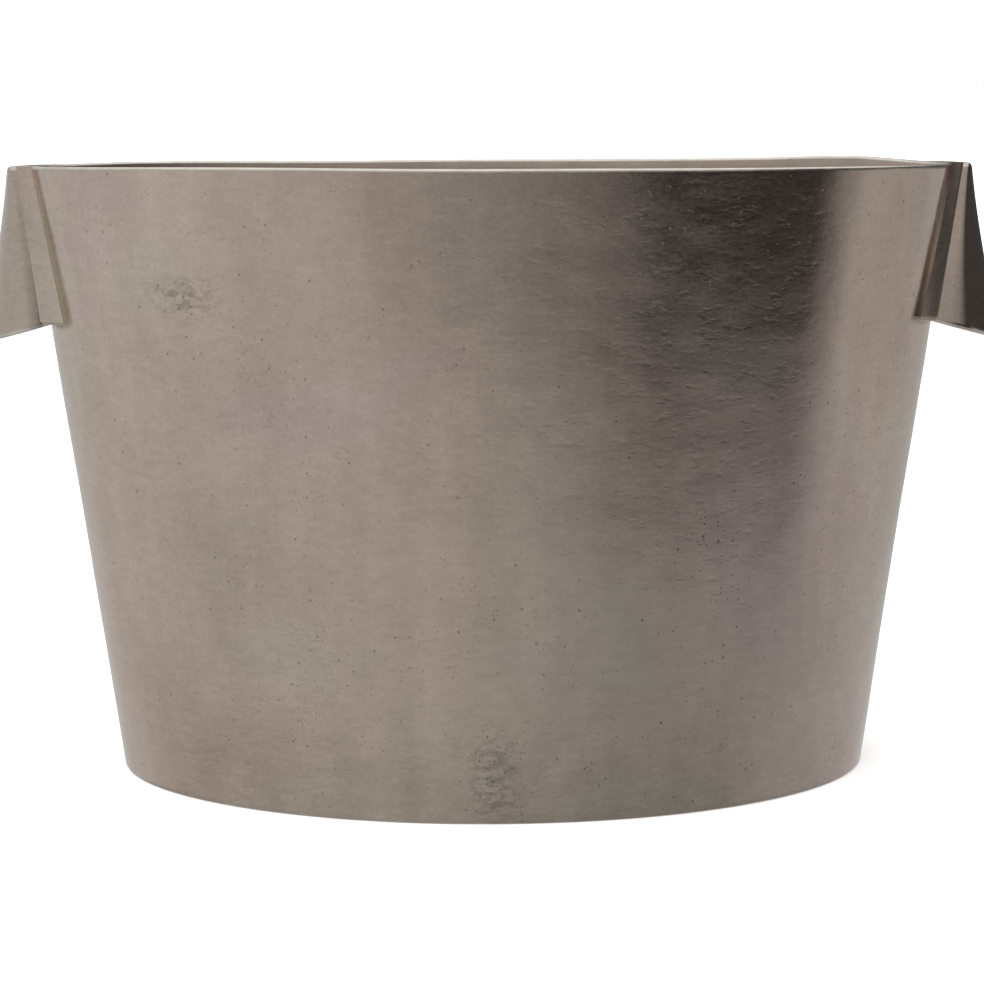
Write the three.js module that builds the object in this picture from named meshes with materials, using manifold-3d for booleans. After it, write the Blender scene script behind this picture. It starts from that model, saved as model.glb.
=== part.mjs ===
// An oval, tapered champagne bucket in satin aluminium, with a pocket handle at each end.
// Millimetres, +Z up, +X along the oval, origin at the middle of the underside.
import * as THREE from 'three';
import { mergeVertices } from 'three/addons/utils/BufferGeometryUtils.js';
import Module from 'manifold-3d';

const wasm = await Module();
wasm.setup();

// Body: an oval that narrows evenly from the rim to the base.
const HEIGHT = 284;
const RIM_LENGTH = 430;
const RIM_DEPTH = 266;
const BASE_LENGTH = 355.7;
const BASE_DEPTH = 220;
const WALL = 4;
const FLOOR = 5;
const RIM_ROUND = 1.2;
const FOOT_ROUND = 1.2;

// Handle: a lip that hangs from a ledge at the rim, open below for the fingers.
const LEDGE_REACH = 6.2; // from the rim's end to the outside of the handle, at the top
const HANDLE_FLARE = 0.205; // how far the outside leans out for each millimetre down
const NOSE_TOP = 5.6; // depth of the rounded front of the handle at the rim
const NOSE_GROWTH = 0.33; // how much deeper that front gets for each millimetre down
const HANDLE_HALF_WIDTH = 34.6; // at the rim
const HANDLE_SPREAD = 0.065; // growth of the half width for each millimetre down
const LIP_DROP = 70; // from the rim down to the lip's lower edge, where its side meets the wall
const LIP_SLOPE = 0.28; // how much lower that edge gets for each millimetre outwards
const LIP_SHEET = 3.2;
const LEDGE_THICKNESS = 5;
const LEDGE_ROUND = 2.4;

// Weld strips: a flat fillet down each side of each handle, wider towards the lower end.
const WELD_LEG_TOP = 5.4; // along the handle's side
const WELD_LEG_LOW = 7.9;
const WELD_TOE_TOP = 3.6; // across the wall
const WELD_TOE_LOW = 6;
const WELD_SHORT_TOP = 0.6; // the strip stops this far below the rim
const WELD_LEVELS = 5;

// The bead between the floor and the wall, on the inside.
const FLOOR_BEAD = 6;

// Clearances and facet counts.
const GAP = 0.3; // between pieces that touch
const OVERSHOOT = 12; // how far a cutter runs past what it cuts
const ROUND_STEPS = 3;
const OVAL_SEGMENTS = 96;
const NOSE_SEGMENTS = 28;

const SATIN = { color: 0xa0968a, roughness: 0.42, metalness: 1 };
const WELDED = { color: 0x9b9185, roughness: 0.48, metalness: 1 };
const INSIDE = { color: 0x958c80, roughness: 0.5, metalness: 1 };

const mix = (from, to, share) => from + (to - from) * share;
const halfLength = (z) => mix(BASE_LENGTH, RIM_LENGTH, z / HEIGHT) / 2;
const halfDepth = (z) => mix(BASE_DEPTH, RIM_DEPTH, z / HEIGHT) / 2;

// x of the body's outside at a given y and height.
const wallX = (y, z) => halfLength(z) * Math.sqrt(1 - (y / halfDepth(z)) ** 2);

// ---- solids -------------------------------------------------------------------------------

function toSolid(geometry) {
  geometry.deleteAttribute('normal');
  geometry.deleteAttribute('uv');
  const merged = mergeVertices(geometry, 1e-4);
  const corners = merged.index.array;
  const triangles = [];
  for (let i = 0; i < corners.length; i += 3) {
    const [a, b, c] = corners.slice(i, i + 3);
    if (a !== b && b !== c && c !== a) triangles.push(a, b, c);
  }
  const mesh = new wasm.Mesh({
    numProp: 3,
    vertProperties: new Float32Array(merged.attributes.position.array),
    triVerts: new Uint32Array(triangles),
  });
  return new wasm.Manifold(mesh);
}

function toMesh(name, solid, look) {
  const { vertProperties, triVerts } = solid.getMesh();
  const geometry = new THREE.BufferGeometry();
  geometry.setAttribute('position', new THREE.BufferAttribute(vertProperties, 3));
  geometry.setIndex(new THREE.BufferAttribute(triVerts, 1));
  geometry.computeVertexNormals();
  const mesh = new THREE.Mesh(geometry, new THREE.MeshStandardMaterial(look));
  mesh.name = name;
  return mesh;
}

// Turns a profile about the vertical axis, then stretches every ring of it to the body's oval.
// A profile point is { inset, z }, measured in from the body's outside, or { axis: true, z }.
function ovalSolid(profile) {
  const outline = profile.map((point, row) => new THREE.Vector2(point.axis ? 0 : 1, row));
  const geometry = new THREE.LatheGeometry(outline, OVAL_SEGMENTS);
  geometry.rotateX(Math.PI / 2);
  const position = geometry.attributes.position;
  for (let i = 0; i < position.count; i += 1) {
    const { inset = 0, z } = profile[Math.round(position.getZ(i))];
    const x = position.getX(i) * (halfLength(z) - inset);
    const y = position.getY(i) * (halfDepth(z) - inset);
    position.setXYZ(i, x, y, z);
  }
  return toSolid(geometry);
}

// A solid whose horizontal section changes evenly between levels: outlineAt(depth) gives the
// same number of points at every depth below the rim, and the depths run from low to high.
function loftSolid(outlineAt, depths) {
  const pattern = outlineAt(depths[0]);
  const shape = new THREE.Shape(pattern.map(([x, y]) => new THREE.Vector2(x, y)));
  const steps = depths.length - 1;
  const geometry = new THREE.ExtrudeGeometry(shape, { depth: 1, steps, bevelEnabled: false });
  const outlines = depths.map(outlineAt);
  const position = geometry.attributes.position;
  for (let i = 0; i < position.count; i += 1) {
    const corner = nearest(pattern, position.getX(i), position.getY(i));
    const level = Math.round(position.getZ(i) * steps);
    const [x, y] = outlines[level][corner];
    position.setXYZ(i, x, y, HEIGHT - depths[level]);
  }
  return toSolid(geometry);
}

function nearest(points, x, y) {
  const distances = points.map(([px, py]) => Math.hypot(px - x, py - y));
  return distances.indexOf(Math.min(...distances));
}

// The steps of a quarter round of radius r: along goes from 0 to r while back goes from r to 0.
function quarterRound(radius) {
  const steps = [];
  for (let i = 0; i <= ROUND_STEPS; i += 1) {
    const angle = (i / ROUND_STEPS) * (Math.PI / 2);
    steps.push({ along: radius * Math.sin(angle), back: radius * (1 - Math.cos(angle)) });
  }
  return steps;
}

// ---- body ---------------------------------------------------------------------------------

// The body's outside with no rounding, grown so that what it cuts keeps its gap.
function bodyCutter() {
  return ovalSolid([
    { axis: true, z: -OVERSHOOT },
    { inset: -GAP, z: -OVERSHOOT },
    { inset: -GAP, z: HEIGHT + OVERSHOOT },
    { axis: true, z: HEIGHT + OVERSHOOT },
  ]);
}

function bucketWall() {
  const foot = quarterRound(FOOT_ROUND).reverse();
  const rim = quarterRound(RIM_ROUND);
  const outside = ovalSolid([
    { axis: true, z: 0 },
    ...foot.map(({ along, back }) => ({ inset: back, z: FOOT_ROUND - along })),
    ...rim.map(({ along, back }) => ({ inset: back, z: HEIGHT - RIM_ROUND + along })),
    { axis: true, z: HEIGHT },
  ]);
  const inside = ovalSolid([
    { axis: true, z: -OVERSHOOT },
    { inset: WALL, z: -OVERSHOOT },
    ...rim.map(({ along, back }) => ({ inset: WALL - back, z: HEIGHT - RIM_ROUND + along })),
    { inset: WALL - RIM_ROUND, z: HEIGHT + OVERSHOOT },
    { axis: true, z: HEIGHT + OVERSHOOT },
  ]);
  return outside.subtract(inside);
}

function basePlate() {
  return ovalSolid([
    { axis: true, z: 0 },
    { inset: WALL + GAP, z: 0 },
    { inset: WALL + GAP, z: FLOOR },
    { axis: true, z: FLOOR },
  ]);
}

// A ring with a hollow face, in the corner between the floor and the wall.
function baseBead() {
  const inset = WALL + GAP;
  const z = FLOOR + GAP;
  const corner = { inset, z };
  const face = quarterRound(FLOOR_BEAD).map(({ along, back }) => ({
    inset: inset + back,
    z: z + FLOOR_BEAD - along,
  }));
  return ovalSolid([corner, ...face, corner]);
}

// ---- handles, built at the +X end ---------------------------------------------------------

const noseX = (depth) => RIM_LENGTH / 2 + LEDGE_REACH + HANDLE_FLARE * depth;
const noseDepth = (depth) => NOSE_TOP + NOSE_GROWTH * depth;
const sideY = (depth) => HANDLE_HALF_WIDTH + HANDLE_SPREAD * depth;
const LOW_END = LIP_DROP + LIP_SLOPE * 3 * OVERSHOOT + OVERSHOOT;

// The handle's section: straight sides out of the body, closed by half an ellipse.
function handleOutline(depth, inset) {
  const centre = noseX(depth) - noseDepth(depth);
  const reach = noseDepth(depth) - inset;
  const side = sideY(depth) - inset;
  const root = halfLength(HEIGHT - depth) - 4 * OVERSHOOT;
  const points = [[root, -side]];
  for (let i = 0; i <= NOSE_SEGMENTS; i += 1) {
    const angle = (i / NOSE_SEGMENTS - 0.5) * Math.PI;
    points.push([centre + reach * Math.cos(angle), side * Math.sin(angle)]);
  }
  points.push([root, side]);
  return points;
}

// Everything below the lip's lower edge, which slopes down away from the body.
function lipCutter() {
  const start = halfLength(HEIGHT - LIP_DROP) - 4 * OVERSHOOT;
  const end = noseX(LOW_END) + OVERSHOOT;
  const sideX = wallX(sideY(LIP_DROP), HEIGHT - LIP_DROP);
  const edgeZ = (x) => HEIGHT - LIP_DROP - LIP_SLOPE * (x - sideX);
  const shape = new THREE.Shape();
  shape.moveTo(start, 0);
  shape.lineTo(end, 0);
  shape.lineTo(end, edgeZ(end));
  shape.lineTo(start, edgeZ(start));
  const depth = 2 * (sideY(LOW_END) + OVERSHOOT);
  const geometry = new THREE.ExtrudeGeometry(shape, { depth, bevelEnabled: false });
  geometry.rotateX(Math.PI / 2);
  geometry.translate(0, depth / 2, 0);
  return toSolid(geometry);
}

function handleLip() {
  const rounding = quarterRound(LEDGE_ROUND).reverse();
  const insets = new Map(rounding.map(({ along, back }) => [back, LEDGE_ROUND - along]));
  const outer = loftSolid(
    (depth) => handleOutline(depth, insets.get(depth) ?? 0),
    [LOW_END, ...insets.keys()],
  );
  const pocket = loftSolid(
    (depth) => handleOutline(depth, LIP_SHEET),
    [LOW_END, LEDGE_THICKNESS],
  );
  return outer.subtract(pocket).subtract(bodyCutter()).subtract(lipCutter());
}

// The strip that fills the corner between the wall and the handle's side (-1 front, 1 back).
function weldStrip(side) {
  const outlineAt = (depth) => {
    const share = depth / LIP_DROP;
    const z = HEIGHT - depth;
    const edge = sideY(depth);
    const toe = edge + mix(WELD_TOE_TOP, WELD_TOE_LOW, share);
    const leg = wallX(edge, z) + mix(WELD_LEG_TOP, WELD_LEG_LOW, share);
    const points = [
      [wallX(toe, z), side * toe],
      [leg, side * edge],
      [leg, side * (edge - LIP_SHEET)],
      [wallX(toe, z) - WALL, side * (toe - LIP_SHEET)],
    ];
    return side < 0 ? points : points.reverse();
  };
  const low = LIP_DROP + OVERSHOOT;
  const depths = [];
  for (let i = 0; i < WELD_LEVELS; i += 1) {
    depths.push(mix(low, WELD_SHORT_TOP, i / (WELD_LEVELS - 1)));
  }
  const wedge = loftSolid(outlineAt, depths);
  const handle = loftSolid((depth) => handleOutline(depth, -GAP), [LOW_END, -OVERSHOOT]);
  return wedge.subtract(handle).subtract(bodyCutter()).subtract(lipCutter());
}

// One end of the bucket; turned half round about the vertical it is the other end.
function handleEnd(name, front, back) {
  const end = new THREE.Group();
  end.add(toMesh(`handle_${name}`, handleLip(), SATIN));
  end.add(toMesh(`weld_${name}_${front}`, weldStrip(-1), WELDED));
  end.add(toMesh(`weld_${name}_${back}`, weldStrip(1), WELDED));
  return end;
}

const bucket = new THREE.Group();
bucket.add(toMesh('bucket_wall', bucketWall(), SATIN));
bucket.add(toMesh('base_plate', basePlate(), INSIDE));
bucket.add(toMesh('base_weld', baseBead(), WELDED));
bucket.add(handleEnd('right', 'front', 'back'));

const leftEnd = handleEnd('left', 'back', 'front');
leftEnd.rotation.z = Math.PI;
bucket.add(leftEnd);

export default bucket;
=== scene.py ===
"""Looks of an oval champagne bucket in satin cast aluminium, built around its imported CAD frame."""
import math

import bmesh
import bpy
import numpy as np
from mathutils import Matrix, Vector


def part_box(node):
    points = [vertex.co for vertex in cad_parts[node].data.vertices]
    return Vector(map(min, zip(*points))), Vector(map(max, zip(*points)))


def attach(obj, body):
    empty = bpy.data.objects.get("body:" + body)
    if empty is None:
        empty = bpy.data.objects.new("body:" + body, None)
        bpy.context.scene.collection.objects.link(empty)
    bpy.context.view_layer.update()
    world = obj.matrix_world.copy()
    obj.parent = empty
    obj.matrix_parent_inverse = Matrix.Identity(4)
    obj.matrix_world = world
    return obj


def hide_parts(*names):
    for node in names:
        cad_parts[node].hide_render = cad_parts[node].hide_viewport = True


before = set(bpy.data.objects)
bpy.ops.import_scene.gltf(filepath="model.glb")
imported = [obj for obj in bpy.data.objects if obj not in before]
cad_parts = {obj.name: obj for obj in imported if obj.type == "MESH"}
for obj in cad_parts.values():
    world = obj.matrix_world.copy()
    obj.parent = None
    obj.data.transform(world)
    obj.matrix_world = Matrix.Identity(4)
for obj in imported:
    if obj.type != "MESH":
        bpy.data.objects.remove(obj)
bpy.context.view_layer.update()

MM = 0.001
rng = np.random.default_rng(858)

# ---- sizes, in metres, from the frame -------------------------------------------------------

wall_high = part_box("bucket_wall")[1]
plate_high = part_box("base_plate")[1]
bead_low, bead_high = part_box("base_weld")

HEIGHT = wall_high.z
FLOOR = plate_high.z
WALL = 4 * MM
GAP = 0.3 * MM
RIM_ROUND = 1.2 * MM
FOOT_ROUND = 1.2 * MM
BEAD_LEG = bead_high.z - bead_low.z
RIM_HALF = Vector((0.2150, 0.1330))  # half length and half depth of the rim's outside
FLOOR_HALF = Vector((plate_high.x + WALL + GAP, plate_high.y + WALL + GAP))


def half_sizes(z):
    """Half length and half depth of the body's outside at height z."""
    share = (z - FLOOR) / (HEIGHT - FLOOR)
    return (
        FLOOR_HALF.x + (RIM_HALF.x - FLOOR_HALF.x) * share,
        FLOOR_HALF.y + (RIM_HALF.y - FLOOR_HALF.y) * share,
    )


def wall_x(y, z):
    """x of the body's outside at this y and height."""
    half_x, half_y = half_sizes(z)
    return half_x * math.sqrt(1 - (y / half_y) ** 2)


# ---- small shared helpers -------------------------------------------------------------------


def random_waves(count, shortest, longest, height):
    """Plane waves of random direction and phase that add up to an even, soft unevenness."""
    length = np.exp(rng.uniform(math.log(shortest), math.log(longest), count))
    direction = rng.normal(size=(count, 3))
    direction /= np.linalg.norm(direction, axis=1)[:, None]
    return {
        "k": direction * (2 * math.pi / length)[:, None],
        "phase": rng.uniform(0, 2 * math.pi, count),
        "height": height * math.sqrt(2 / count),
    }


def wave_height(waves, points):
    """The waves' sum at each point, in metres."""
    angle = points @ waves["k"].T + waves["phase"]
    return np.sin(angle).sum(axis=1) * waves["height"]


def make_object(name, points, faces, materials, sharp_deg=40):
    """A smooth-shaded mesh object with its doubles merged and its faces turned outwards."""
    mesh = bpy.data.meshes.new(name)
    mesh.from_pydata([tuple(p) for p in points], [], [f[0] for f in faces])
    for material in materials:
        mesh.materials.append(material)
    mesh.polygons.foreach_set("material_index", [f[1] for f in faces])
    work = bmesh.new()
    work.from_mesh(mesh)
    bmesh.ops.remove_doubles(work, verts=work.verts, dist=0.004 * MM)
    bmesh.ops.dissolve_degenerate(work, edges=work.edges, dist=0.004 * MM)
    bmesh.ops.recalc_face_normals(work, faces=work.faces)
    work.to_mesh(mesh)
    work.free()
    mesh.polygons.foreach_set("use_smooth", [True] * len(mesh.polygons))
    mesh.set_sharp_from_angle(angle=math.radians(sharp_deg))
    piece = bpy.data.objects.new(name, mesh)
    bpy.context.scene.collection.objects.link(piece)
    return piece


def ring_faces(rows, columns, wrap_rows, wrap_columns, slot_at=lambda row, column: 0):
    """The quads of a grid of points stored row by row, with the material slot of each."""
    faces = []
    for row in range(rows if wrap_rows else rows - 1):
        after = (row + 1) % rows
        for column in range(columns if wrap_columns else columns - 1):
            beside = (column + 1) % columns
            quad = (
                row * columns + column,
                row * columns + beside,
                after * columns + beside,
                after * columns + column,
            )
            faces.append((quad, slot_at(row, column)))
    return faces


def quarter(radius, steps):
    """(along, back) points of a quarter round: along grows to radius as back grows to it."""
    return [
        (radius * math.sin(a), radius * (1 - math.cos(a)))
        for a in np.linspace(0, math.pi / 2, steps)
    ]


def stand_for(piece, node):
    """The piece rides with the bucket in place of its CAD node."""
    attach(piece, "root")
    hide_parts(node)
    return piece


# ---- materials ------------------------------------------------------------------------------


class Nodes:
    """A short way to write a material's node tree."""

    def __init__(self, tree):
        self.tree = tree
        self.place = tree.nodes.new("ShaderNodeTexCoord").outputs["Object"]

    def link(self, source, target):
        if isinstance(source, bpy.types.NodeSocket):
            self.tree.links.new(source, target)
        else:
            target.default_value = source

    def stretched(self, x, y, z):
        node = self.tree.nodes.new("ShaderNodeMapping")
        node.inputs["Scale"].default_value = (x, y, z)
        self.tree.links.new(self.place, node.inputs["Vector"])
        return node.outputs["Vector"]

    def noise(self, scale, detail=2.0, roughness=0.5, vector=None, distortion=0.0):
        node = self.tree.nodes.new("ShaderNodeTexNoise")
        node.inputs["Scale"].default_value = scale
        node.inputs["Detail"].default_value = detail
        node.inputs["Roughness"].default_value = roughness
        node.inputs["Distortion"].default_value = distortion
        self.tree.links.new(vector or self.place, node.inputs["Vector"])
        return node.outputs["Fac"]

    def cells(self, scale, vector=None):
        """Distance to, and a random value of, the nearest of many scattered points."""
        node = self.tree.nodes.new("ShaderNodeTexVoronoi")
        node.inputs["Scale"].default_value = scale
        self.tree.links.new(vector or self.place, node.inputs["Vector"])
        part = self.tree.nodes.new("ShaderNodeSeparateColor")
        self.tree.links.new(node.outputs["Color"], part.inputs[0])
        return node.outputs["Distance"], part.outputs[0]

    def math(self, operation, a, b=0.0, c=0.0):
        node = self.tree.nodes.new("ShaderNodeMath")
        node.operation = operation
        for value, socket in zip((a, b, c), node.inputs):
            self.link(value, socket)
        return node.outputs[0]

    def span(self, value, low, high, to_low=0.0, to_high=1.0, smooth=True):
        """value from low..high taken to to_low..to_high, held at the ends."""
        node = self.tree.nodes.new("ShaderNodeMapRange")
        node.interpolation_type = "SMOOTHSTEP" if smooth else "LINEAR"
        for socket, number in zip(node.inputs, (value, low, high, to_low, to_high)):
            self.link(number, socket)
        return node.outputs[0]

    def spot(self, centre, radius):
        """1 at a place on the surface, fading to 0 at radius, stretched to an ellipsoid."""
        shift = self.tree.nodes.new("ShaderNodeVectorMath")
        shift.operation = "SUBTRACT"
        self.tree.links.new(self.place, shift.inputs[0])
        shift.inputs[1].default_value = centre
        scale = self.tree.nodes.new("ShaderNodeVectorMath")
        scale.operation = "DIVIDE"
        self.tree.links.new(shift.outputs[0], scale.inputs[0])
        scale.inputs[1].default_value = radius
        length = self.tree.nodes.new("ShaderNodeVectorMath")
        length.operation = "LENGTH"
        self.tree.links.new(scale.outputs[0], length.inputs[0])
        return self.span(length.outputs["Value"], 1.0, 0.15)

    def mix(self, share, a, b):
        node = self.tree.nodes.new("ShaderNodeMix")
        node.data_type = "RGBA"
        self.link(share, node.inputs[0])
        self.link(a, node.inputs[6])
        self.link(b, node.inputs[7])
        return node.outputs[2]

    def shade(self, colour, factor):
        node = self.tree.nodes.new("ShaderNodeMix")
        node.data_type = "RGBA"
        node.blend_type = "MULTIPLY"
        node.inputs[0].default_value = 1.0
        self.link(colour, node.inputs[6])
        self.link(factor, node.inputs[7])
        return node.outputs[2]

    def bump(self, height, distance, strength=1.0):
        node = self.tree.nodes.new("ShaderNodeBump")
        node.inputs["Distance"].default_value = distance
        node.inputs["Strength"].default_value = strength
        self.tree.links.new(height, node.inputs["Height"])
        return node.outputs["Normal"]


def new_material(name):
    material = bpy.data.materials.new(name)
    material.use_nodes = True
    shader = material.node_tree.nodes["Principled BSDF"]
    shader.inputs["Metallic"].default_value = 1.0
    return material, shader, Nodes(material.node_tree)


WARM = (0.610, 0.502, 0.425, 1)
GREENISH = (0.580, 0.512, 0.426, 1)
MAUVE = (0.600, 0.488, 0.445, 1)

# Marks on the outside, each a centre and its reach along x, y and z, in metres.
MAUVE_AT, MAUVE_SIZE = (0.125, -0.08, 0.115), (0.075, 0.12, 0.12)
CLUSTER_AT, CLUSTER_SIZE = (-0.1315, -0.098, 0.2305), (0.023, 0.06, 0.0125)
STAIN_AT, STAIN_SIZE = (0.000, -0.112, 0.020), (0.017, 0.03, 0.036)


def satin_metal(name, tone=1.0, roughness=0.12, pitting=1.0, grain=1.0):
    """Sand-cast aluminium, brushed down to a satin: clouds, faint streaks, grain and pits."""
    material, shader, n = new_material(name)

    clouds = n.noise(11, 4, 0.55)
    drift = n.noise(6.5, 2, 0.5, n.stretched(1.0, 1.0, 0.8))
    streaks = n.noise(46, 3, 0.55, n.stretched(1.0, 1.0, 0.22))
    speckle = n.noise(520, 2, 0.6)
    mottle = n.noise(190, 4, 0.65, n.stretched(0.6, 0.6, 1.6))

    tint = n.mix(n.span(drift, 0.42, 0.62), WARM, GREENISH)
    mauve = n.span(n.noise(8.0, 2, 0.5, n.stretched(1, 1, 1.3)), 0.54, 0.68, 0, 0.7)
    mauve = n.math("MAXIMUM", mauve, n.spot(MAUVE_AT, MAUVE_SIZE))
    tint = n.mix(mauve, tint, MAUVE)

    shade = n.span(clouds, 0.3, 0.7, 0.90 * tone, 1.08 * tone, smooth=False)
    shade = n.math("MULTIPLY", shade, n.span(streaks, 0.3, 0.7, 0.93, 1.06, smooth=False))
    shade = n.math("MULTIPLY", shade, n.span(mottle, 0.3, 0.7, 0.94, 1.055, smooth=False))
    shade = n.math("MULTIPLY", shade, n.span(speckle, 0.25, 0.7, 0.93, 1.055, smooth=False))

    # Pits: a few everywhere, more where the casting was porous.
    porous = n.span(n.noise(17, 3, 0.6), 0.55, 0.75)
    cluster = n.spot(CLUSTER_AT, CLUSTER_SIZE)
    stain = n.spot(STAIN_AT, STAIN_SIZE)
    porous = n.math("ADD", porous, n.math("MULTIPLY", cluster, 1.15))
    porous = n.math("ADD", porous, n.math("MULTIPLY", stain, 1.3))
    porous = n.math("MINIMUM", porous, 1.7)
    blotch = n.span(n.noise(210, 3, 0.65, n.stretched(0.8, 0.8, 1.5)), 0.42, 0.60)
    dirty = n.math("ADD", n.math("MULTIPLY", cluster, 0.32), n.math("MULTIPLY", stain, 0.30))
    blotch = n.math("MULTIPLY", blotch, dirty)
    shade = n.math("MULTIPLY", shade, n.math("SUBTRACT", 1.0, blotch))
    pits = None
    for scale, size in ((330, 0.25), (620, 0.28)):
        distance, chance = n.cells(scale)
        wanted = n.math("GREATER_THAN", n.math("ADD", chance, n.math("MULTIPLY", porous, 0.42)), 0.955)
        hole = n.math("MULTIPLY", n.span(distance, size, size * 0.35), wanted)
        pits = hole if pits is None else n.math("MAXIMUM", pits, hole)
    shade = n.math("MULTIPLY", shade, n.math("SUBTRACT", 1.0, n.math("MULTIPLY", pits, 0.42 * pitting)))

    colour = n.shade(tint, shade)
    n.tree.links.new(colour, shader.inputs["Base Color"])

    rough = n.span(clouds, 0.3, 0.7, roughness - 0.02, roughness + 0.04, smooth=False)
    rough = n.math("ADD", rough, n.span(speckle, 0.3, 0.7, -0.02, 0.03, smooth=False))
    rough = n.math("ADD", rough, n.math("MULTIPLY", pits, 0.12))
    n.tree.links.new(rough, shader.inputs["Roughness"])

    wrinkle = n.noise(230, 3, 0.55, n.stretched(0.7, 0.7, 1.5), distortion=0.3)
    height = n.math("MULTIPLY", wrinkle, 0.42 * grain)
    dents = n.span(n.noise(170, 2, 0.5, n.stretched(0.7, 0.7, 1.5)), 0.54, 0.74)
    height = n.math("ADD", height, n.math("MULTIPLY", dents, -0.22 * grain))
    height = n.math("ADD", height, n.math("MULTIPLY", n.noise(900, 2, 0.6), 0.09 * grain))
    height = n.math("ADD", height, n.math("MULTIPLY", pits, -0.5 * pitting))
    n.tree.links.new(n.bump(height, 0.08 * MM), shader.inputs["Normal"])
    return material


def polished_edge(name):
    """The rim and the lips' edges, worn brighter and smoother than the faces."""
    material, shader, n = new_material(name)
    wear = n.noise(90, 3, 0.6)
    colour = n.mix(n.span(wear, 0.35, 0.65), (0.74, 0.68, 0.60, 1), (0.84, 0.79, 0.72, 1))
    n.tree.links.new(colour, shader.inputs["Base Color"])
    n.tree.links.new(n.span(wear, 0.3, 0.7, 0.22, 0.36), shader.inputs["Roughness"])
    n.tree.links.new(n.bump(n.noise(420, 2, 0.5), 0.05 * MM), shader.inputs["Normal"])
    return material


SATIN = satin_metal("satin_cast_outside")
INSIDE = satin_metal("satin_cast_inside", tone=0.94, roughness=0.36, pitting=0.7)
HANDLE = satin_metal("satin_cast_handle", roughness=0.12, pitting=0.5, grain=0.35)
WELD = satin_metal("dressed_weld", tone=0.97, roughness=0.20, pitting=0.5, grain=0.5)
EDGE = polished_edge("worn_edge")

# ---- body -----------------------------------------------------------------------------------

AROUND = 720
OUTSIDE_ROWS = 230
INSIDE_ROWS = 90
hammered = random_waves(70, 70 * MM, 220 * MM, 0.16 * MM)
rippled = random_waves(120, 14 * MM, 40 * MM, 0.022 * MM)
BACK_LIFT = 0.5 * MM  # how much higher the back of the rim stands than the front
BACK_CORNER_LIFT = 1.5 * MM  # and how much more at its corner on the +X side
BACK_CORNER_X = 180 * MM
BACK_CORNER_WIDTH = 36 * MM
BACK_FROM = 25 * MM  # the lift fades in over this y and the next BACK_FADE
BACK_FADE = 40 * MM
SWAY_LIMIT = 0.4 * MM
INSIDE_FOOT = 0.4 * MM
rim_sway = random_waves(12, 120 * MM, 400 * MM, 0.25 * MM)
angles = np.linspace(0, 2 * math.pi, AROUND, endpoint=False)


def oval_ring(inset, z):
    """A level ring of points, this far inside the body's outside at height z."""
    half_x, half_y = half_sizes(z)
    ring = np.zeros((AROUND, 3))
    ring[:, 0] = (half_x - inset) * np.cos(angles)
    ring[:, 1] = (half_y - inset) * np.sin(angles)
    ring[:, 2] = z
    return ring


def uneven(points):
    """Moves points in or out from the body's axis by the casting's unevenness."""
    out = points * (1, 1, 0)
    out[:, 1] *= (RIM_HALF.x / RIM_HALF.y) ** 2
    out /= np.maximum(np.linalg.norm(out, axis=1), 1e-9)[:, None]
    height = wave_height(hammered, points) + wave_height(rippled, points)
    return points + out * height[:, None]


def bucket_wall():
    """The oval wall as one closed skin: outside, rim, inside and foot."""
    rows = []
    foot = quarter(FOOT_ROUND, 6)[::-1]
    rim = quarter(RIM_ROUND, 6)
    rows += [(back, FOOT_ROUND - along) for along, back in foot]
    heights = np.linspace(FOOT_ROUND, HEIGHT - RIM_ROUND, OUTSIDE_ROWS)[1:-1]
    rows += [(0.0, z) for z in heights]
    first_rim = len(rows)
    rows += [(back, HEIGHT - RIM_ROUND + along) for along, back in rim]
    rows += [(WALL - back, HEIGHT - RIM_ROUND + along) for along, back in rim[::-1]]
    last_rim = len(rows) - 1
    heights = np.linspace(HEIGHT - RIM_ROUND, INSIDE_FOOT, INSIDE_ROWS)[1:]
    rows += [(WALL, z) for z in heights]
    rows += [(WALL - INSIDE_FOOT, 0.0)]
    points = uneven(np.vstack([oval_ring(inset, z) for inset, z in rows]))
    near_rim = np.clip(points[:, 2] / HEIGHT, 0, 1) ** 6
    sway = wave_height(rim_sway, points * (1, 1, 0)) * near_rim
    behind = np.clip((points[:, 1] - BACK_FROM) / BACK_FADE, 0, 1)
    corner = np.exp(-(((points[:, 0] - BACK_CORNER_X) / BACK_CORNER_WIDTH) ** 2))
    lift = behind * (BACK_LIFT + BACK_CORNER_LIFT * corner) * near_rim
    points[:, 2] += np.minimum(sway, SWAY_LIMIT) + lift

    def slot_at(row, column):
        if first_rim <= row < last_rim:
            return 1
        return 0 if row < first_rim else 2

    faces = ring_faces(len(rows), AROUND, True, True, slot_at)
    piece = make_object("wall_skin", points, faces, [SATIN, EDGE, INSIDE])
    return stand_for(piece, "bucket_wall")


FLOOR_RINGS = 26
FLOOR_RIPPLE = 2  # how much stronger the ripple is on the floor than on the wall


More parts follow.
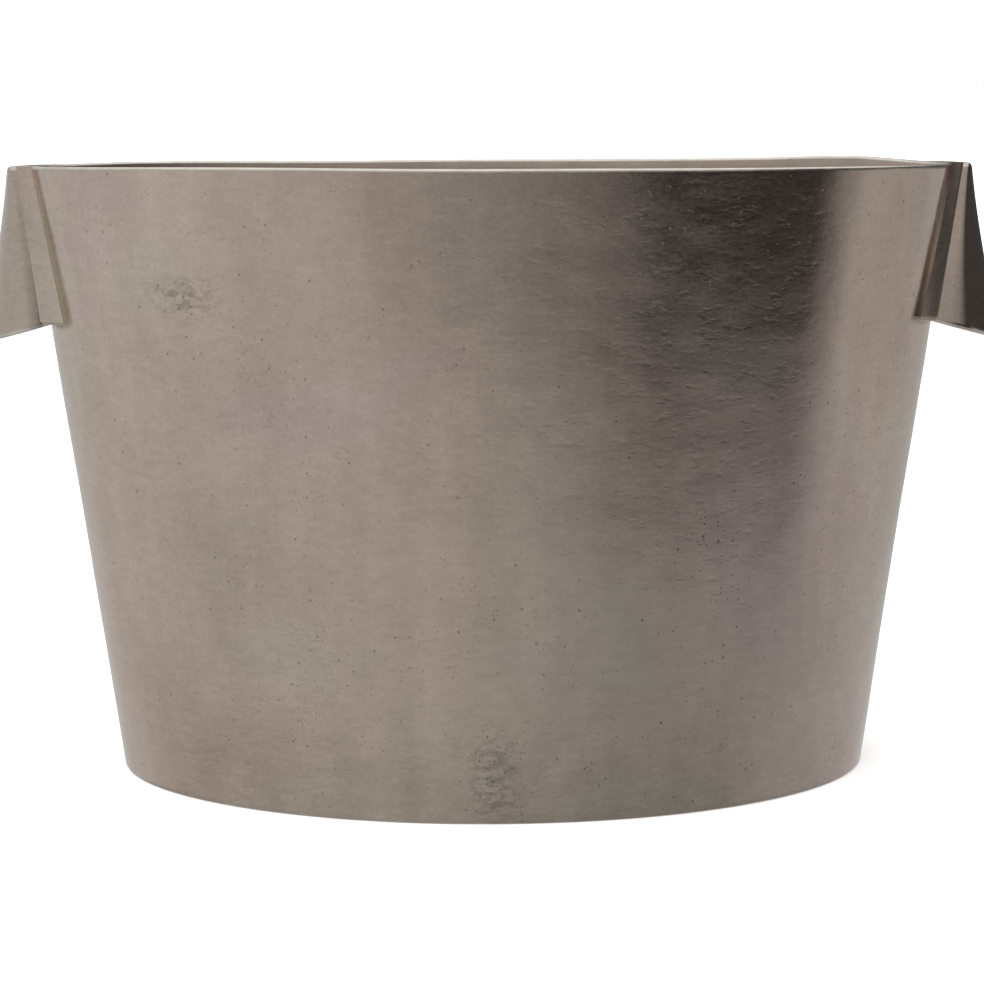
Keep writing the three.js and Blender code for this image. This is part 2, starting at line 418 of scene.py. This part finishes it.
def base_plate():
    """The floor: flat below, with a soft edge, and a faint ripple on top."""
    edge = 0.5 * MM
    reach = WALL - 0.1 * MM
    rows = [(reach + edge, 0.0), (reach, edge), (reach, FLOOR - edge), (reach + edge, FLOOR)]
    top = [1 - step / FLOOR_RINGS for step in range(1, FLOOR_RINGS)]
    points = [oval_ring(inset, z) for inset, z in rows]
    for share in top:
        ring = oval_ring(reach + edge, FLOOR)
        ring[:, :2] *= share
        points.append(ring)
    points = np.vstack(points)
    count = len(rows) + len(top)
    faces = ring_faces(count, AROUND, False, True)
    upper = points[:, 2] > FLOOR - 0.01 * MM
    points[upper, 2] += wave_height(rippled, points[upper]) * FLOOR_RIPPLE
    centre = len(points)
    points = np.vstack([points, [(0, 0, FLOOR), (0, 0, 0)]])
    last = (count - 1) * AROUND
    for column in range(AROUND):
        beside = (column + 1) % AROUND
        faces.append(((last + column, last + beside, centre), 0))
        faces.append(((beside, column, centre + 1), 0))
    piece = make_object("floor_plate", points, faces, [INSIDE])
    return stand_for(piece, "base_plate")


def base_bead():
    """The hollow bead in the corner between the floor and the wall."""
    sink = 0.25 * MM
    corner_inset = WALL - sink
    corner_z = FLOOR - sink
    leg = BEAD_LEG + GAP
    rows = [(corner_inset, corner_z)]
    for a in np.linspace(0, math.pi / 2, 9):
        rows.append((corner_inset + leg * (1 - math.cos(a)), corner_z + leg * (1 - math.sin(a))))
    points = np.vstack([oval_ring(inset, z) for inset, z in rows])
    lumps = random_waves(60, 5 * MM, 16 * MM, 0.12 * MM)
    # The rows that meet the floor and the wall stay even, so the lumps are on the face alone.
    face = slice(2 * AROUND, len(points) - AROUND)
    points[face, 2] += wave_height(lumps, points[face])
    faces = ring_faces(len(rows), AROUND, True, True)
    piece = make_object("floor_bead", points, faces, [WELD])
    return stand_for(piece, "base_weld")


# ---- handles --------------------------------------------------------------------------------

# Sizes of the solids. The sections are worked out at a depth below the rim.
LEDGE_REACH = 6.2 * MM
NOSE_TOP = 5.6 * MM
FLARE = 0.205
NOSE_GROWTH = 0.33
HALF_WIDTH = 34.6 * MM
SPREAD = 0.065
LIP_DROP = 70 * MM
LIP_SLOPE = 0.28
SHEET = 3.2 * MM
LEDGE = 5 * MM
LEDGE_ROUND = 2.4 * MM
LEG_TOP = 5.4 * MM  # the weld strip's width on the handle, at the rim and at its lower end
LEG_LOW = 7.9 * MM
TOE_TOP = 3.6 * MM  # and its width on the wall
TOE_LOW = 6.0 * MM

# Where the looks leave the solids.
NARROWING = 0.10  # how much narrower the +X handle is at the rim
VALLEY = 2.2 * MM  # depth, at the lip's edge, of the hollow ground beside the -X handle's welds
VALLEY_WIDTH = 7 * MM
RIGHT_TRIM = 2.1 * MM  # how much narrower the +X welds are at their lower end
SWAY = 1.2  # how much of the casting's unevenness the lips take on, up to SWAY_MOST
SWAY_MOST = 0.3 * MM

SINK = 1.0 * MM  # how deep the handle's root is buried in the wall
CORNER_ROUND = 2.5 * MM
SIDE_STATIONS = 30
NOSE_STATIONS = 84
SHELF_STEPS = 8
ROUND_STEPS = 9
FACE_STEPS = 52
EDGE_STEPS = 11


def nose_x(depth):
    """How far out the lip reaches."""
    return RIM_HALF.x + LEDGE_REACH + FLARE * depth


def nose_depth(depth):
    """Length of the rounded nose along x."""
    return NOSE_TOP + NOSE_GROWTH * depth


def side_y(depth):
    """Half the handle's width."""
    return HALF_WIDTH + SPREAD * depth


def station(column, depth, inset):
    """A point of the handle's section at this depth: along one side, round the nose and back."""
    centre = nose_x(depth) - nose_depth(depth)
    side = side_y(depth) - inset
    last = 2 * SIDE_STATIONS + NOSE_STATIONS
    if SIDE_STATIONS <= column <= last - SIDE_STATIONS:
        angle = ((column - SIDE_STATIONS) / NOSE_STATIONS - 0.5) * math.pi
        reach = nose_depth(depth) - inset
        return centre + reach * math.cos(angle), side * math.sin(angle)
    front = column < SIDE_STATIONS
    share = (column if front else last - column) / SIDE_STATIONS
    root = wall_x(side, HEIGHT - depth) - SINK
    return root + (centre - root) * share, -side if front else side


def strip_edge_x(depth):
    """x of the weld strip's outer edge on the handle's side."""
    share = depth / LIP_DROP
    return wall_x(side_y(depth), HEIGHT - depth) + LEG_TOP + (LEG_LOW - LEG_TOP) * share


def hand_fitted(points, turn):
    """The +X handle is a little narrower at the rim than the other; it evens out lower down."""
    if turn > 0:
        share = np.clip((HEIGHT - points[:, 2]) / LIP_DROP, 0, 1)
        points[:, 1] *= 1 - NARROWING * (1 - share)
    return points


def lip_drop(column, inset):
    """Depth of the lip's lower edge at a station; it slopes down away from the body."""
    start = wall_x(side_y(LIP_DROP), HEIGHT - LIP_DROP)
    drop = LIP_DROP
    for _ in range(6):  # the station moves out as the depth grows, so the two are settled together
        drop = LIP_DROP + LIP_SLOPE * (station(column, drop, inset)[0] - start)
    return drop


def handle_section(column, columns):
    """The closed path round the sheet at one station, from the wall out, down, in and back up."""
    share = column / (columns - 1)
    path = []

    def shelf(depth, inset, steps, outwards):
        x, y = station(column, depth, inset)
        side = side_y(depth) - inset
        root_y = side * (2 * share - 1)
        root_x = wall_x(root_y, HEIGHT - depth) - SINK
        for step in range(steps):
            part = step / steps if outwards else 1 - step / steps
            path.append((root_x + (x - root_x) * part, root_y + (y - root_y) * part, depth))

    shelf(0.0, LEDGE_ROUND, SHELF_STEPS, True)
    for along, back in quarter(LEDGE_ROUND, ROUND_STEPS)[::-1]:
        path.append((*station(column, LEDGE_ROUND - along, back), LEDGE_ROUND - along))
    drop = lip_drop(column, 0.0)
    half = SHEET / 2
    for part in np.linspace(0, 1, FACE_STEPS + 2)[1:-1]:
        depth = LEDGE_ROUND + (drop - half - LEDGE_ROUND) * part
        path.append((*station(column, depth, 0.0), depth))
    for angle in np.linspace(0, math.pi, EDGE_STEPS):
        inset = half - half * math.cos(angle)
        depth = lip_drop(column, inset) - half + half * math.sin(angle)
        path.append((*station(column, depth, inset), depth))
    inner_drop = lip_drop(column, SHEET)
    inner_top = LEDGE + CORNER_ROUND
    for part in np.linspace(1, 0, 26)[1:-1]:
        depth = inner_top + (inner_drop - half - inner_top) * part
        path.append((*station(column, depth, SHEET), depth))
    for along, back in quarter(CORNER_ROUND, 6)[:-1]:
        depth = inner_top - along
        path.append((*station(column, depth, SHEET + back), depth))
    shelf(LEDGE, SHEET + CORNER_ROUND, 6, False)
    return path


def ground(depth, turn):
    """How deep the hollow beside the weld is. Only the -X handle has one."""
    return VALLEY * max(depth / LIP_DROP, 0.0) ** 1.5 if turn < 0 else 0.0


def ground_beside_weld(points, turn):
    """Hollows the handle's two sides next to their welds, deeper towards the lip's edge."""
    for point in points:
        depth = max(HEIGHT - point[2], 0.0)
        side = side_y(depth)
        away = (point[0] - strip_edge_x(depth)) / VALLEY_WIDTH
        level = min(max(abs(point[1]) / side, 0.0), 1.0)
        fade = max(1 - max(away, 0.0), 0.0) ** 2 * level**4
        point[1] -= math.copysign(ground(depth, turn) * fade, point[1])
    return points


def handle_lip(name, turn):
    """The ledge at the rim and the lip that hangs from it, turned to its end of the bucket."""
    columns = 2 * SIDE_STATIONS + NOSE_STATIONS + 1
    sections = [handle_section(column, columns) for column in range(columns)]
    around = len(sections[0])
    points = np.array(sections).reshape(-1, 3)
    points[:, 2] = HEIGHT - points[:, 2]
    points = ground_beside_weld(points, turn)
    sway = wave_height(hammered, points * 1.7 + turn)
    points[:, 0] += np.clip(sway * SWAY, -SWAY_MOST, SWAY_MOST)
    points = hand_fitted(points, turn)
    points[:, :2] *= turn

    edge_from = SHELF_STEPS + ROUND_STEPS + FACE_STEPS

    def slot_at(row, step):
        return 1 if edge_from <= step < edge_from + EDGE_STEPS - 1 else 0

    faces = ring_faces(columns, around, False, True, slot_at)
    faces.append((tuple(range(around))[::-1], 0))
    faces.append((tuple((columns - 1) * around + step for step in range(around)), 0))
    piece = make_object(name + "_skin", points, faces, [HANDLE, EDGE], sharp_deg=50)
    return stand_for(piece, name)


# ---- weld strips ----------------------------------------------------------------------------

PROUD = 0.4 * MM  # how far the strip's edge stands off the handle's side
STRIP_TOP = 0.05 * MM
STRIP_LOW = LIP_DROP + 1.0 * MM
STRIP_TAIL = 1.6 * MM  # over how much of its lower end the strip thins out
STRIP_HOLLOW = 0.04  # how far the face sags, as a share of the way to the corner


def weld_strip(node, turn, side):
    """The fillet strip in the corner of the wall and the handle's side, flat across its face."""
    rows = []
    tail_from = STRIP_LOW - STRIP_TAIL
    leg_low = LEG_LOW - (RIGHT_TRIM if turn > 0 else 0.0)
    depths = list(np.linspace(STRIP_TOP, tail_from, 60))
    depths += [tail_from + STRIP_TAIL * math.sin(a) for a in np.linspace(0.25, math.pi / 2, 6)]
    for depth in depths:
        z = HEIGHT - depth
        share = depth / STRIP_LOW
        edge = side_y(depth)
        tail = max(0.0, (depth - tail_from) / STRIP_TAIL)
        thin = math.sqrt(max(1 - tail * tail, 0.0)) * 0.75 + 0.25
        toe_y = edge + (TOE_TOP + (TOE_LOW - TOE_TOP) * share) * thin
        leg_x = wall_x(edge, z) + (LEG_TOP + (leg_low - LEG_TOP) * share) * thin
        toe = Vector((wall_x(toe_y, z) - 0.05 * MM, toe_y))
        leg = Vector((leg_x, edge + PROUD))
        root = Vector((wall_x(edge, z), edge))
        section = []
        for part in np.linspace(0, 1, 10):
            hollow = math.sin(math.pi * part) * STRIP_HOLLOW
            section.append(toe.lerp(leg, part).lerp(root, hollow))
        # The softened outer edge, then the back, buried in the handle and the wall.
        hidden = edge - ground(depth, turn)
        section += [
            Vector((leg.x + 0.35 * MM, edge + 0.45 * PROUD)),
            Vector((leg.x + 0.3 * MM, hidden - 0.5 * MM)),
            Vector((leg.x - 0.4 * MM, hidden - 1.0 * MM)),
            Vector((root.x - 1.2 * MM, edge - 1.0 * MM)),
            Vector((toe.x - 1.2 * MM, toe.y - 0.6 * MM)),
        ]
        rows.append([(p.x * turn, p.y * side, z) for p in section])
    points = hand_fitted(np.array(rows).reshape(-1, 3), turn)
    columns = len(rows[0])
    faces = ring_faces(len(rows), columns, False, True)
    faces.append((tuple(range(columns)), 0))
    faces.append((tuple((len(rows) - 1) * columns + c for c in range(columns))[::-1], 0))
    piece = make_object(node + "_strip", points, faces, [WELD], sharp_deg=50)
    return stand_for(piece, node)


bucket_wall()
base_plate()
base_bead()
for name, turn in (("left", -1), ("right", 1)):
    handle_lip(f"handle_{name}", turn)
    weld_strip(f"weld_{name}_front", turn, -1)
    weld_strip(f"weld_{name}_back", turn, 1)

# ---- floor, light and camera ----------------------------------------------------------------


FLOOR_REACH = 40.0
FLOOR_CORNERS = 64


def pale_floor():
    """A wide pale floor under the bucket. Mirror-like surfaces see the room instead of it."""
    mesh = bpy.data.meshes.new("floor")
    turns = np.linspace(0, 2 * math.pi, FLOOR_CORNERS + 1)[:-1]
    ring = [(FLOOR_REACH * math.cos(a), FLOOR_REACH * math.sin(a), 0) for a in turns]
    mesh.from_pydata(ring, [], [tuple(range(FLOOR_CORNERS))])
    material = bpy.data.materials.new("pale_floor")
    material.use_nodes = True
    shader = material.node_tree.nodes["Principled BSDF"]
    shader.inputs["Base Color"].default_value = (0.9, 0.9, 0.9, 1)
    shader.inputs["Roughness"].default_value = 0.9
    shader.inputs["Specular IOR Level"].default_value = 0.0
    shader.inputs["Emission Color"].default_value = (1, 1, 1, 1)
    shader.inputs["Emission Strength"].default_value = 0.3
    mesh.materials.append(material)
    floor = bpy.data.objects.new("floor", mesh)
    floor.visible_glossy = False
    bpy.context.scene.collection.objects.link(floor)


def ramp(tree, source, stops):
    """A colour ramp in grey over degrees from -180 to 180."""
    node = tree.nodes.new("ShaderNodeValToRGB")
    while len(node.color_ramp.elements) < len(stops):
        node.color_ramp.elements.new(0.5)
    for element, (degrees, level) in zip(node.color_ramp.elements, stops):
        element.position = (degrees + 180) / 360
        element.color = (level, level, level, 1)
    tree.links.new(source, node.inputs[0])
    return node.outputs[0]


# The studio by direction in degrees: 0 is -Y, where the camera stands, and 90 is +X.
# A pale screen stands to the left and fades evenly towards a dark flag right of the camera.
PALE = 0.56  # how bright the plain surround is
LEFT_SCREEN = 0.63
LEFT_SCREEN_AT = -70
RIGHT_SCREEN = 0.50
FADE_FROM = -35
FLAG_FROM = 30
FLAG_TO = 65
FLAG = 0.02  # how bright the flag is
SOFT = 13  # how far the flag's right edge blurs
SHADED = 0.37  # the near table in front of the flag
CORNER = 0.06  # the unlit corner of the room, from the right round to the back
CORNER_FROM = 60
CORNER_TO = 165

# Brightness by direction: on the far part of the table, on its near part, and above it.
TABLE_FAR = [
    (-180, PALE),
    (LEFT_SCREEN_AT, LEFT_SCREEN),
    (FADE_FROM, 0.95 * LEFT_SCREEN),
    (FLAG_FROM - 5, 5 * FLAG),
    (FLAG_FROM, FLAG),
    (FLAG_TO, 2 * FLAG),
    (FLAG_TO + SOFT, RIGHT_SCREEN),
    (180, RIGHT_SCREEN),
]
TABLE_NEAR = [
    (-180, LEFT_SCREEN),
    (-90, PALE),
    (-10, PALE),
    (FLAG_FROM - 10, SHADED),
    (FLAG_TO, SHADED),
    (150, LEFT_SCREEN),
    (180, LEFT_SCREEN),
]
ROOM = [
    (-180, 0.6 * PALE),
    (-160, PALE),
    (-20, PALE),
    (40, 0.6 * PALE),
    (CORNER_FROM, CORNER),
    (CORNER_TO, CORNER),
    (180, 0.4 * PALE),
]


def studio_world():
    """Soft light from all round, with the camera seeing plain white."""
    world = bpy.data.worlds.new("studio")
    bpy.context.scene.world = world
    world.use_nodes = True
    tree = world.node_tree
    n = Nodes(tree)
    direction = tree.nodes.new("ShaderNodeTexCoord").outputs["Generated"]
    split = tree.nodes.new("ShaderNodeSeparateXYZ")
    tree.links.new(direction, split.inputs[0])
    x, y, z = split.outputs
    turn = n.math("ARCTAN2", x, n.math("MULTIPLY", y, -1.0))
    turn = n.math("MULTIPLY_ADD", turn, 0.5 / math.pi, 0.5)
    far = ramp(tree, turn, TABLE_FAR)
    near = ramp(tree, turn, TABLE_NEAR)
    room = ramp(tree, turn, ROOM)
    # z is the sine of the direction's height: -1 looks straight down, 0 level and 1 straight up.
    table = n.mix(n.span(z, -0.185, -0.37, smooth=False), far, near)
    table = n.shade(table, n.span(z, -0.46, -0.40, 0.80, 1.0))
    sides = n.mix(n.span(z, -0.09, -0.03), table, room)
    light = n.mix(n.span(z, 0.35, 0.75), sides, (0.95, 0.95, 0.95, 1))
    background = tree.nodes["Background"]
    tree.links.new(light, background.inputs["Color"])
    plain = tree.nodes.new("ShaderNodeBackground")
    plain.inputs["Color"].default_value = (1, 1, 1, 1)
    path = tree.nodes.new("ShaderNodeLightPath")
    both = tree.nodes.new("ShaderNodeMixShader")
    tree.links.new(path.outputs["Is Camera Ray"], both.inputs[0])
    tree.links.new(background.outputs[0], both.inputs[1])
    tree.links.new(plain.outputs[0], both.inputs[2])
    tree.links.new(both.outputs[0], tree.nodes["World Output"].inputs["Surface"])


SUN_SPREAD = math.radians(80)
SUN_STRENGTH = 2.3
SUN_TILT = (math.radians(12), math.radians(-10), 0)


def overhead_light():
    """A very soft light from above, a little in front and to the left."""
    lamp = bpy.data.lights.new("overhead", "SUN")
    lamp.angle = SUN_SPREAD
    lamp.energy = SUN_STRENGTH
    source = bpy.data.objects.new("overhead", lamp)
    source.rotation_euler = SUN_TILT
    source.visible_glossy = False
    bpy.context.scene.collection.objects.link(source)


CAMERA_DISTANCE = 1.0191
CAMERA_PITCH = math.radians(9.51)
CAMERA_AZIMUTH = math.radians(-0.4)
CAMERA_ROLL = math.radians(-0.217)
AIM_HEIGHT = 0.454 * HEIGHT
LENS_MM = 78.07


def studio_camera():
    """In front of the broad side, a little above the rim and looking down, with a long lens."""
    camera = bpy.data.objects.new("camera", bpy.data.cameras.new("camera"))
    camera.data.sensor_width = 36
    camera.data.lens = LENS_MM
    camera.data.clip_start = 0.01
    camera.data.clip_end = 200
    back = Vector((
        math.sin(CAMERA_AZIMUTH) * math.cos(CAMERA_PITCH),
        -math.cos(CAMERA_AZIMUTH) * math.cos(CAMERA_PITCH),
        math.sin(CAMERA_PITCH),
    ))
    aim = Vector((0, 0, AIM_HEIGHT))
    facing = (-back).to_track_quat("-Z", "Y").to_matrix().to_4x4()
    camera.matrix_world = (
        Matrix.Translation(aim + back * CAMERA_DISTANCE)
        @ facing
        @ Matrix.Rotation(CAMERA_ROLL, 4, "Z")
    )
    bpy.context.scene.collection.objects.link(camera)
    bpy.context.scene.camera = camera


pale_floor()
studio_world()
overhead_light()
studio_camera()
bpy.context.scene.view_settings.view_transform = "Standard"
